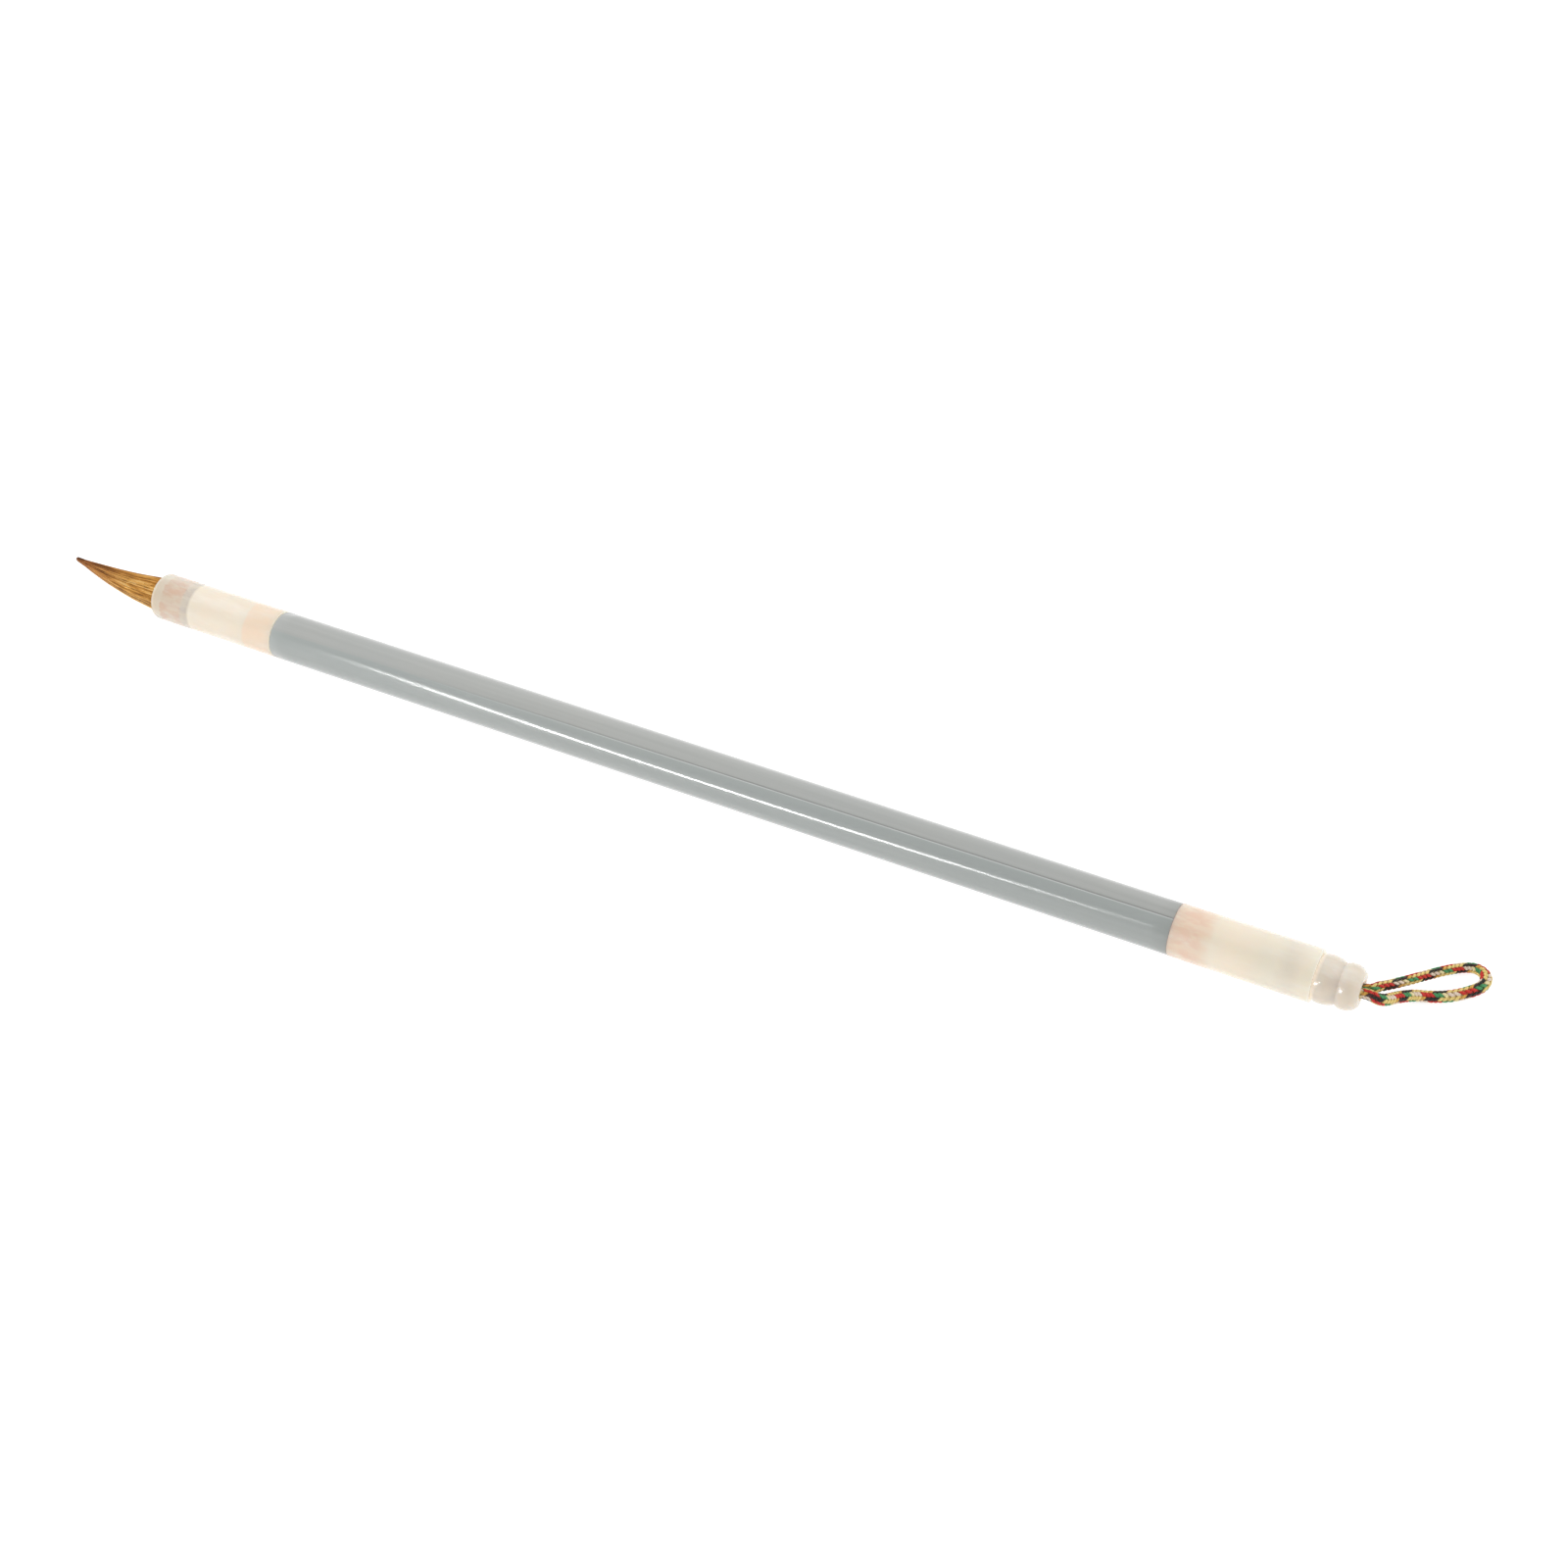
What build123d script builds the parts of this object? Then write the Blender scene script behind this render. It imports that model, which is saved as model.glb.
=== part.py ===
from build123d import *
import math
import os

# A calligraphy brush lying on a table: +X runs along the brush from the hair tip to the hanging
# loop, +Z is up, and the origin is on the table below the middle of the brush. Millimetres.

# Lengths along the brush, in order from the hair tip
TUFT_OUT = 21.8
FERRULE_LENGTH = 28.3
SLEEVE_LENGTH = 180.4
SOCKET_LENGTH = 24.5
KNOB_LENGTH = 7.5

# Outside of the handle
SHAFT_R = 4.5
SOCKET_R = 4.58
SLEEVE_WALL = 0.4
EDGE_BREAK = 0.15
LIP_ROUND = 0.9

# Turned ends of the wooden core, glued into the ferrule and the socket
TENON_R = 2.9
TENON_LENGTH = 6.4
TENON_CHAMFER = 0.4
BORE_SPARE = 0.3

# Hair cup in the ferrule, and the tied root that sits in it
CUP_R = 3.4
CUP_DEPTH = 8.8
ROOT_DEPTH = 7.4
ROOT_TIED_R = 2.6
ROOT_FLARE = 4.0
GLUE_RECESS = 0.6
THREAD_R = 0.2
THREAD_TURNS = 6
THREAD_START = 4.3

# Free hair: a cone with a full, rounded tip that curves up and away
TAPER_POWER = 0.75
TIP_R = 0.12
TIP_LIFT = (0.78, 1.4)
LIFT_POWER = 1.7
TUFT_SECTIONS = 9
PIVOT_OUT = 5.0
SEAT_GAP = 0.06
LIP_BACK = 1.0
CORE_BACK_R = 1.5
CORE_FRONT_R = 0.6
CORE_FRONT = 13.0
CORE_SPARE = 0.5

# Two-bead end knob, its tenon and its cord hole
KNOB_TENON_R = 3.1
KNOB_TENON_LENGTH = 4.6
BEAD_START_R = 3.95
BEAD_R = 4.2
BEAD_TOP = 1.7
GROOVE_R = 3.6
GROOVE_AT = 3.9
END_BEAD_R = 4.0
END_BEAD_TOP = 5.2
END_EDGE_R = 3.2
END_EDGE_AT = 7.2
END_FACE_R = 2.85
CORD_HOLE_R = 1.8
HOLE_CHAMFER = 0.2

# Hanging cord: its knot in the chamber behind the knob, and its free loop
CORD_R = 0.88
STRAND_OFFSET = 0.9
STRAND_TILT = -18.0
KNOT_LENGTH = 4.4
KNOT_R = 2.75
KNOT_END_R = 1.8
CHAMBER_SPARE = 0.5
LOOP_LIES_AT = 0.9
BEND_SHARE = 0.45

OVERALL = TUFT_OUT + FERRULE_LENGTH + SLEEVE_LENGTH + SOCKET_LENGTH + KNOB_LENGTH
TIP_X = -OVERALL / 2
MOUTH_X = TIP_X + TUFT_OUT
SLEEVE_X = MOUTH_X + FERRULE_LENGTH
SOCKET_X = SLEEVE_X + SLEEVE_LENGTH
KNOB_X = SOCKET_X + SOCKET_LENGTH
KNOB_END_X = KNOB_X + KNOB_LENGTH
PIVOT_X = MOUTH_X - PIVOT_OUT
CHAMBER_LENGTH = KNOB_TENON_LENGTH + KNOT_LENGTH + CHAMBER_SPARE
AXIS_Z = SOCKET_R

# Corners of the loop's route, from the far strand's exit round to the near strand's. The tube
# starts 1.35 mm clear of the knob's end face, which is the room that its swing needs.
LOOP_ROUTE = [
    (132.6, 1.0, 4.55),
    (133.2, 2.25, 4.4),
    (134.45, 4.0, 3.8),
    (136.5, 7.0, 2.95),
    (139.0, 10.9, 2.0),
    (141.6, 14.4, 1.3),
    (144.0, 16.9, LOOP_LIES_AT),
    (146.1, 17.6, LOOP_LIES_AT),
    (147.85, 16.6, LOOP_LIES_AT),
    (148.2, 14.3, LOOP_LIES_AT),
    (146.9, 12.1, LOOP_LIES_AT),
    (144.4, 9.5, LOOP_LIES_AT),
    (141.2, 7.6, LOOP_LIES_AT),
    (138.5, 6.1, 1.45),
    (136.5, 3.3, 2.6),
    (135.2, 0.75, 3.6),
    (134.35, -0.5, 4.4),
    (133.55, -0.9, 4.9),
    (132.6, -0.9, 5.1),
]


def place(shape):
    """Put a shape modelled on the X axis at the brush's height above the table."""
    return Pos(0, 0, AXIS_Z) * shape


def rod(start, end, radius):
    """Round bar along the X axis."""
    align = (Align.CENTER, Align.CENTER, Align.MIN)
    return Pos(start, 0, 0) * Rot(0, 90, 0) * Cylinder(radius, end - start, align=align)


def turned(*edges):
    """Solid of revolution about the X axis from a closed chain of edges in the XY plane."""
    return revolve(make_face(Wire(edges)), Axis.X)


def rims(shape, x, radius):
    """Circular edges of a turned shape at one station and radius."""
    circles = shape.edges().filter_by(GeomType.CIRCLE)
    return [e for e in circles if abs(e.arc_center.X - x) < 0.01 and abs(e.radius - radius) < 0.01]


def hair_radius(out):
    """Radius of the tuft at a distance out of the ferrule's mouth."""
    return max(CUP_R * (1 - out / TUFT_OUT) ** TAPER_POWER, TIP_R)


def hair_centre(out):
    """Centre of the tuft's section: straight as far as the pivot, then curving up and away."""
    bend = (max(out - PIVOT_OUT, 0) / (TUFT_OUT - PIVOT_OUT)) ** LIFT_POWER
    return (MOUTH_X - out, TIP_LIFT[0] * bend, TIP_LIFT[1] * bend)


def tenon(start, end, tip):
    """Chamfered round tenon whose free end is at tip."""
    bar = rod(start, end, TENON_R)
    return chamfer(rims(bar, tip, TENON_R), TENON_CHAMFER)


def shaft_core():
    body = rod(SLEEVE_X, SOCKET_X, SHAFT_R - SLEEVE_WALL)
    front = tenon(SLEEVE_X - TENON_LENGTH, SLEEVE_X, SLEEVE_X - TENON_LENGTH)
    rear = tenon(SOCKET_X, SOCKET_X + TENON_LENGTH, SOCKET_X + TENON_LENGTH)
    return place(body + front + rear)


def shaft_sleeve():
    tube = rod(SLEEVE_X, SOCKET_X, SHAFT_R) - rod(SLEEVE_X, SOCKET_X, SHAFT_R - SLEEVE_WALL)
    edges = rims(tube, SLEEVE_X, SHAFT_R) + rims(tube, SOCKET_X, SHAFT_R)
    return place(chamfer(edges, EDGE_BREAK / 2))


def front_ferrule():
    tube = rod(MOUTH_X, SLEEVE_X, SHAFT_R)
    tube = fillet(rims(tube, MOUTH_X, SHAFT_R), LIP_ROUND)
    tube = chamfer(rims(tube, SLEEVE_X, SHAFT_R), EDGE_BREAK)
    tube -= rod(MOUTH_X, MOUTH_X + CUP_DEPTH, CUP_R)
    return place(tube - rod(SLEEVE_X - TENON_LENGTH - BORE_SPARE, SLEEVE_X, TENON_R))


def tuft_root():
    """Tied hair ends, flaring to fill the cup's mouth, with a ball seat for the free hair."""
    tied_end = MOUTH_X + ROOT_DEPTH
    lip = PIVOT_X + LIP_BACK
    seat_r = hair_radius(PIVOT_OUT) + SEAT_GAP
    seat_edge = (lip, math.sqrt(seat_r**2 - LIP_BACK**2))
    seat_middle = (PIVOT_X + seat_r * math.cos(math.pi / 4), seat_r * math.sin(math.pi / 4))
    outline = [
        seat_edge,
        (lip, hair_radius(PIVOT_OUT - LIP_BACK)),
        (MOUTH_X, CUP_R),
        (MOUTH_X + GLUE_RECESS, CUP_R),
        (MOUTH_X + ROOT_FLARE, ROOT_TIED_R),
        (tied_end, ROOT_TIED_R),
        (tied_end, 0),
        (PIVOT_X + seat_r, 0),
    ]
    sides = [Line(a, b) for a, b in zip(outline, outline[1:])]
    return place(turned(*sides, ThreePointArc(outline[-1], seat_middle, seat_edge)))


def root_binding():
    start = MOUTH_X + THREAD_START
    pitch = 2 * THREAD_R
    end = start + THREAD_TURNS * pitch
    crown = ROOT_TIED_R + 2 * THREAD_R
    outline = [Line((end, ROOT_TIED_R), (start, ROOT_TIED_R))]
    outline += [Line((start, ROOT_TIED_R), (start, ROOT_TIED_R + THREAD_R))]
    for turn in range(THREAD_TURNS):
        x = start + turn * pitch
        left, right = (x, ROOT_TIED_R + THREAD_R), (x + pitch, ROOT_TIED_R + THREAD_R)
        outline += [ThreePointArc(left, (x + THREAD_R, crown), right)]
    outline += [Line((end, ROOT_TIED_R + THREAD_R), (end, ROOT_TIED_R))]
    return place(turned(*outline))


def root_glue(root, binding):
    fill = rod(MOUTH_X + GLUE_RECESS, MOUTH_X + CUP_DEPTH, CUP_R)
    return place(fill) - root - binding


def free_hair():
    """The tuft in front of its pivot, with a ball-shaped back that turns in the root's seat."""
    sections = []
    for step in range(TUFT_SECTIONS):
        out = PIVOT_OUT + (TUFT_OUT - PIVOT_OUT) * step / (TUFT_SECTIONS - 1)
        section = Plane(origin=hair_centre(out), x_dir=(0, 1, 0), z_dir=(-1, 0, 0))
        sections.append(section * Circle(hair_radius(out)))
    ball = Pos(PIVOT_X, 0, 0) * Sphere(hair_radius(PIVOT_OUT))
    behind = Pos(PIVOT_X, 0, 0) * Box(20, 20, 20, align=(Align.MIN, Align.CENTER, Align.CENTER))
    return place(loft(sections) + (ball & behind))


def tuft_pieces():
    """The stiff core hairs, and the mantle of longer hairs around them."""
    hair = free_hair()
    length = CORE_FRONT - PIVOT_OUT + hair_radius(PIVOT_OUT) + CORE_SPARE
    cone = Cone(CORE_FRONT_R, CORE_BACK_R, length, align=(Align.CENTER, Align.CENTER, Align.MIN))
    core = place(Pos(MOUTH_X - CORE_FRONT, 0, 0) * Rot(0, 90, 0) * cone) & hair
    return core, hair - core


def rear_socket():
    tube = rod(SOCKET_X, KNOB_X, SOCKET_R)
    tube = chamfer(rims(tube, SOCKET_X, SOCKET_R), EDGE_BREAK)
    tube = fillet(rims(tube, KNOB_X, SOCKET_R), EDGE_BREAK)
    tube -= rod(SOCKET_X, SOCKET_X + TENON_LENGTH + BORE_SPARE, TENON_R)
    return place(tube - rod(KNOB_X - CHAMBER_LENGTH, KNOB_X, KNOB_TENON_R))


def end_knob():
    back = KNOB_X - KNOB_TENON_LENGTH
    groove = (KNOB_X + GROOVE_AT, GROOVE_R)
    edge = (KNOB_X + END_EDGE_AT, END_EDGE_R)
    knob = turned(
        Line((back, 0), (back, KNOB_TENON_R)),
        Line((back, KNOB_TENON_R), (KNOB_X, KNOB_TENON_R)),
        Line((KNOB_X, KNOB_TENON_R), (KNOB_X, BEAD_START_R)),
        ThreePointArc((KNOB_X, BEAD_START_R), (KNOB_X + BEAD_TOP, BEAD_R), groove),
        ThreePointArc(groove, (KNOB_X + END_BEAD_TOP, END_BEAD_R), edge),
        Line(edge, (KNOB_END_X, END_FACE_R)),
        Line((KNOB_END_X, END_FACE_R), (KNOB_END_X, 0)),
        Line((KNOB_END_X, 0), (back, 0)),
    )
    knob -= rod(back, KNOB_END_X, CORD_HOLE_R)
    return place(chamfer(rims(knob, KNOB_END_X, CORD_HOLE_R), HOLE_CHAMFER))


def loop_knot():
    end = KNOB_X - KNOB_TENON_LENGTH
    start = end - KNOT_LENGTH
    middle = (start + end) / 2
    return place(turned(
        Line((start, 0), (start, KNOT_END_R)),
        ThreePointArc((start, KNOT_END_R), (middle, KNOT_R), (end, KNOT_END_R)),
        Line((end, KNOT_END_R), (end, 0)),
        Line((end, 0), (start, 0)),
    ))


def loop_tails():
    """The cord's two strands through the knob, one beside the other across a tilted line."""
    across = Vector(0, STRAND_OFFSET, 0).rotate(Axis.X, STRAND_TILT)
    strand = rod(KNOB_X - KNOB_TENON_LENGTH, KNOB_END_X, CORD_R)
    return place(Compound([Pos(*across) * strand, Pos(*(across * -1)) * strand]))


def bend_radii(points):
    """The largest arc that each corner's two runs allow, and the turn at each corner."""
    radii, turns = [], []
    for before, corner, after in zip(points, points[1:], points[2:]):
        run_in, run_out = corner - before, after - corner
        turn = run_in.get_angle(run_out)
        shorter = min(run_in.length, run_out.length)
        radii.append(BEND_SHARE * shorter / math.tan(math.radians(turn) / 2))
        turns.append(turn)
    return radii, turns


def hanging_loop():
    points = [Vector(*point) for point in LOOP_ROUTE]
    radii, turns = bend_radii(points)
    path = FilletPolyline(*points, radius=radii)
    start = Plane(origin=path @ 0, z_dir=path % 0)
    tube = sweep(start * Circle(CORD_R), path=path)
    for radius, turn in zip(radii, turns):
        print(f"  bend radius {radius:6.2f} mm, turn {turn:5.1f} degrees")
    expected = math.pi * CORD_R**2 * path.length
    print(f"  loop length {path.length:.2f} mm, tube volume over section x length {tube.volume / expected:.4f}")
    return tube


def build():
    root = tuft_root()
    binding = root_binding()
    core, mantle = tuft_pieces()
    return {
        "shaft_core": shaft_core(),
        "shaft_sleeve": shaft_sleeve(),
        "front_ferrule": front_ferrule(),
        "tuft_root": root,
        "root_binding": binding,
        "root_glue": root_glue(root, binding),
        "tuft_core": core,
        "tuft_mantle": mantle,
        "rear_socket": rear_socket(),
        "end_knob": end_knob(),
        "loop_knot": loop_knot(),
        "loop_tails": loop_tails(),
        "hanging_loop": hanging_loop(),
    }


os.makedirs("parts", exist_ok=True)
for name, shape in build().items():
    export_step(shape, f"parts/{name}.step")
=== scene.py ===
"""A calligraphy brush lying on a white table: its hair, thread, resin, lacquer and braided loop."""
import math

import bpy
import numpy as np
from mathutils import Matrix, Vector


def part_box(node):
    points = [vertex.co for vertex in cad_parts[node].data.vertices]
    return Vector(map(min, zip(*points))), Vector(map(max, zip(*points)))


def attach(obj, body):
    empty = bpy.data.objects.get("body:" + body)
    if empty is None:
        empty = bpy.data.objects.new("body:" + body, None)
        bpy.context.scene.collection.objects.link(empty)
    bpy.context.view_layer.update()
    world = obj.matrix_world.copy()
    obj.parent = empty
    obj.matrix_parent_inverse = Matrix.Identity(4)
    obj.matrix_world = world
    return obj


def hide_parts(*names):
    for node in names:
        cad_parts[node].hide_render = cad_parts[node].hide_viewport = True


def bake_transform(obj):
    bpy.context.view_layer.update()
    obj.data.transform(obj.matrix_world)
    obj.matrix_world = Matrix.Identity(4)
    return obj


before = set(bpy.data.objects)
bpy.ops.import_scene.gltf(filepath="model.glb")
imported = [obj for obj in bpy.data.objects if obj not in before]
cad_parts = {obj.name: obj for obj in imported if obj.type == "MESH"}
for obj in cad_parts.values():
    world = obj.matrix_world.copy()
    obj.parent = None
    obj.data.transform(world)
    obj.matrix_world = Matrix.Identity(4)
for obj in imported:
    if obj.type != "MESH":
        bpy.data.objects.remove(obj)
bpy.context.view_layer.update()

MM = 0.001
TAU = 2 * math.pi

# Stations along the brush and its height, from the CAD frame
MOUTH_X, FERRULE_END_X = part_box("front_ferrule")[0][0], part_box("front_ferrule")[1][0]
SOCKET_X, KNOB_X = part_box("rear_socket")[0][0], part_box("rear_socket")[1][0]
KNOB_END_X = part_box("end_knob")[1][0]
TIP_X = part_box("tuft_mantle")[0][0]
AXIS_Z = (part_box("rear_socket")[0][2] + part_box("rear_socket")[1][2]) / 2
SHAFT_R = (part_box("shaft_sleeve")[1][2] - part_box("shaft_sleeve")[0][2]) / 2
CORE_R = (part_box("shaft_core")[1][2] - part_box("shaft_core")[0][2]) / 2
CORE_START_X, CORE_END_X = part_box("shaft_core")[0][0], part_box("shaft_core")[1][0]
CUP_R = (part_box("root_glue")[1][2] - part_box("root_glue")[0][2]) / 2
CUP_END_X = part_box("root_glue")[1][0]
TUFT_OUT = MOUTH_X - TIP_X

# Hair
TAPER_POWER = 0.75
TIP_LIFT = (0.78 * MM, 1.4 * MM)
LIFT_POWER = 1.7
PIVOT_OUT = 5.0 * MM
BLUNT_R = 0.4 * MM
BLUNT_LENGTH = 0.5 * MM
HAIRS = 1700
HAIR_STEPS = 11
HAIR_R = 0.062 * MM
HAIR_END_R = 0.012 * MM
SHORTEST_HAIR = 0.58
UNDER_HAIR_SHARE = 0.915
CLUMPS = 28
CLUMP_JITTER, CLUMP_PULL = 0.42, 0.62
# The far upper side of the tuft darkens towards the tip
BACK_TURN, BACK_SHADE = math.radians(-20), 0.38
ROOT_HAIRS = 220
ROOT_DEPTH = 7.4 * MM
ROOT_TIED_R = 2.6 * MM
ROOT_FLARE = 4.0 * MM

# Thread around the root
THREAD_R = 0.2 * MM
THREAD_TURNS = 6
THREAD_START = 4.3 * MM

# Wooden core
TENON_R = 2.87 * MM
TENON_CHAMFER = 0.4 * MM

CORD_HOLE_R = 1.8 * MM
KNOB_TENON = 4.6 * MM
KNOT_WIDE, KNOT_THICK, KNOT_CORD_R = 0.6 * MM, 1.3 * MM, 0.76 * MM

# Seam of the lacquer sleeve: it winds slightly, and dies out forward of SEAM_FROM_X
SEAM_ANGLE = math.radians(128.2)
SEAM_TURN = math.radians(-0.0864) / MM
SEAM_FROM_X = -40 * MM
SEAM_FADE = 60 * MM
SEAM_HALF_WIDTH = 0.09 * MM
SEAM_DEPTH = 0.07 * MM
SLEEVE_EDGE = 0.075 * MM
SLEEVE_STATIONS = 60

# Braided cord: eight yarns wound each way, floating over two and under two
CORD_D = 1.76 * MM
BRAID_PITCH = 6.8 * MM
BRAID_TURN = math.radians(-33)
BRAID_SWELL = 1.17
SWELL_AT = (0.42, 0.5, 0.93, 1.0)
# Turns the braid has wound at places along the loop: drawn out along its sides, bunched at the bend
WOUND_AT = np.array([0, 10.4, 18.0, 24.0, 28.0, 35.0, 43.5, 52.0]) * MM
WOUND = (0.31, 1.5, 2.5, 3.47, 4.09, 4.97, 6.34, 7.77)
YARN_HALF_WIDTH = 0.24 * MM
YARN_HALF_THICKNESS = 0.14 * MM
YARN_WEAVE = 0.09 * MM
PLY_LENGTH = 0.9 * MM
PLY_DEPTH = 0.08
BRAID_CORE_R = 0.5 * MM
STRAND_OFFSET = 0.9 * MM
STRAND_TILT = math.radians(-18)
LOOP_LIES_AT = 0.9
LOOP_ROUTE = [
    (132.6, 1.0, 4.55),
    (133.2, 2.25, 4.4),
    (134.45, 4.0, 3.8),
    (136.5, 7.0, 2.95),
    (139.0, 10.9, 2.0),
    (141.6, 14.4, 1.3),
    (144.0, 16.9, LOOP_LIES_AT),
    (146.1, 17.6, LOOP_LIES_AT),
    (147.85, 16.6, LOOP_LIES_AT),
    (148.2, 14.3, LOOP_LIES_AT),
    (146.9, 12.1, LOOP_LIES_AT),
    (144.4, 9.5, LOOP_LIES_AT),
    (141.2, 7.6, LOOP_LIES_AT),
    (138.5, 6.1, 1.45),
    (136.5, 3.3, 2.6),
    (135.2, 0.75, 3.6),
    (134.35, -0.5, 4.4),
    (133.55, -0.9, 4.9),
    (132.6, -0.9, 5.1),
]

# What shows dimly through the resin, and a painted highlight for the resin's bright rims
PEACH, ASH, RIM_HIGHLIGHT = (0.86, 0.64, 0.48), (0.62, 0.57, 0.52), (1.0, 0.90, 0.68)

# Camera and light
AZIMUTH, ELEVATION = math.radians(27.0), math.radians(40.0)
AIM = (24.2 * MM, 3.9 * MM, AXIS_Z)
DISTANCE = 449.5 * MM
LENS = 58.1
# The white room is dimmer towards ROOM_FRONT; a bowed strip of panels there makes the highlight
ROOM_FRONT = (0.0, -0.9, 0.43)
ROOM_BRIGHT, ROOM_DIM = 1.05, 0.3
STRIP_X, STRIP_AWAY, STRIP_HALF = -0.185, 0.48, 0.185
STRIP_LOW, STRIP_BOW, STRIP_HEIGHT = 0.022, 0.24, 0.04
STRIP_PANELS = 13
STRIP_POWER = 2.7
STRIP_AIM, FILL_AIM = (0.02, 0, AXIS_Z), (-0.02, 0, AXIS_Z)
FILL_AT, FILL_SIZE, FILL_POWER = (-0.24, -0.2, 0.3), 0.3, 0.5

rng = np.random.default_rng(7)


# ---------------------------------------------------------------- meshes


class Weave:
    """Collects many swept strands into one mesh, with values stored on its points."""

    def __init__(self):
        self.points, self.faces, self.values, self.count = [], [], {}, 0

    def add(self, rings, close=False, **values):
        """rings is an array of rings, each with the same number of points around it."""
        n, k = rings.shape[:2]
        i, j = np.meshgrid(np.arange(n if close else n - 1), np.arange(k), indexing="ij")
        here, there = i * k, ((i + 1) % n) * k
        right = (j + 1) % k
        quads = np.stack([here + j, here + right, there + right, there + j], -1).reshape(-1, 4)
        self.faces += (quads + self.count).tolist()
        if not close:
            self.faces.append([self.count + q for q in range(k)][::-1])
            self.faces.append([self.count + (n - 1) * k + q for q in range(k)])
        self.points.append(rings.reshape(-1, 3))
        for name, value in values.items():
            spread = np.broadcast_to(np.asarray(value, float).reshape(-1, 1), (n, k))
            self.values.setdefault(name, []).append(spread.reshape(-1))
        self.count += n * k

    def build(self, name, material):
        mesh = bpy.data.meshes.new(name)
        mesh.from_pydata(np.concatenate(self.points).tolist(), [], self.faces)
        for key, parts in self.values.items():
            layer = mesh.attributes.new(key, "FLOAT", "POINT")
            layer.data.foreach_set("value", np.concatenate(parts).astype(np.float32))
        return finished(name, mesh, material)


def finished(name, mesh, material):
    mesh.validate()
    mesh.polygons.foreach_set("use_smooth", [True] * len(mesh.polygons))
    mesh.update()
    piece = bpy.data.objects.new(name, mesh)
    bpy.context.scene.collection.objects.link(piece)
    mesh.materials.append(material)
    return piece


def unit(vectors):
    return vectors / np.linalg.norm(vectors, axis=-1, keepdims=True)


def carried_frames(path, closed=False):
    """Two directions across a path, carried along it without twisting."""
    ahead = np.roll(path, -1, 0) - np.roll(path, 1, 0)
    if not closed:
        ahead[0], ahead[-1] = path[1] - path[0], path[-1] - path[-2]
    ahead = unit(ahead)
    side = np.zeros_like(path)
    side[0] = unit(np.cross(ahead[0], (0.1, 0.2, 1.0)))
    for i in range(1, len(path)):
        side[i] = unit(side[i - 1] - ahead[i] * (side[i - 1] @ ahead[i]))
    return side, np.cross(ahead, side)


def tube_rings(path, radii, sides, flat=1.0, closed=False, across=None, plies=0.0, lay=1.0):
    """Rings of a tube along path; flat squeezes it along the across directions, and plies twist
    three soft ridges along it, one turn to each lay."""
    if across is None:
        side, up = carried_frames(path, closed)
    else:
        ahead = unit(np.gradient(path, axis=0))
        side = unit(np.cross(ahead, across))
        up = np.cross(side, ahead)
    angle = np.arange(sides) * TAU / sides
    radii = np.broadcast_to(radii, len(path))[:, None]
    if plies:
        radii = radii * (1 + plies * np.cos(3 * (angle[None] - TAU * travelled(path)[:, None] / lay)))
    radii = np.broadcast_to(radii, (len(path), sides))[..., None]
    spread = np.cos(angle)[None, :, None] * side[:, None] + flat * np.sin(angle)[None, :, None] * up[:, None]
    return path[:, None] + radii * spread


def travelled(path):
    """Distance along a path at each of its points."""
    return np.concatenate([[0], np.cumsum(np.linalg.norm(np.diff(path, axis=0), axis=1))])


def around_axis(x, radius, angle):
    """Point at a station, radius and angle about the brush's axis; angle 0 is +Y, 90 degrees is +Z."""
    x, radius, angle = np.broadcast_arrays(x, radius, angle)
    return np.stack([x, radius * np.cos(angle), AXIS_Z + radius * np.sin(angle)], -1)


def lathe(name, profile, material, sides=96, close=True):
    """Solid of revolution from an outline of (x, radius)."""
    angle = np.arange(sides) * TAU / sides
    weave = Weave()
    weave.add(np.array([around_axis(x, radius, angle) for x, radius in profile]), close=close)
    return weave.build(name, material)


def spline_points(points, spacing):
    """Evenly spaced points read from the smooth NURBS line through a route's control points."""
    curve = bpy.data.curves.new("route", "CURVE")
    curve.dimensions = "3D"
    curve.resolution_u = 24
    spline = curve.splines.new("NURBS")
    spline.points.add(len(points) - 1)
    for point, place in zip(spline.points, points):
        point.co = (*place, 1)
    spline.order_u = 3
    spline.use_endpoint_u = True
    holder = bpy.data.objects.new("route", curve)
    mesh = bpy.data.meshes.new_from_object(holder)
    line = np.array([v.co[:] for v in mesh.vertices])
    bpy.data.objects.remove(holder)
    bpy.data.meshes.remove(mesh)
    bpy.data.curves.remove(curve)
    gone = travelled(line)
    wanted = np.linspace(0, gone[-1], max(int(gone[-1] / spacing), 8))
    return np.stack([np.interp(wanted, gone, line[:, i]) for i in range(3)], -1)


# ---------------------------------------------------------------- materials


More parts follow.
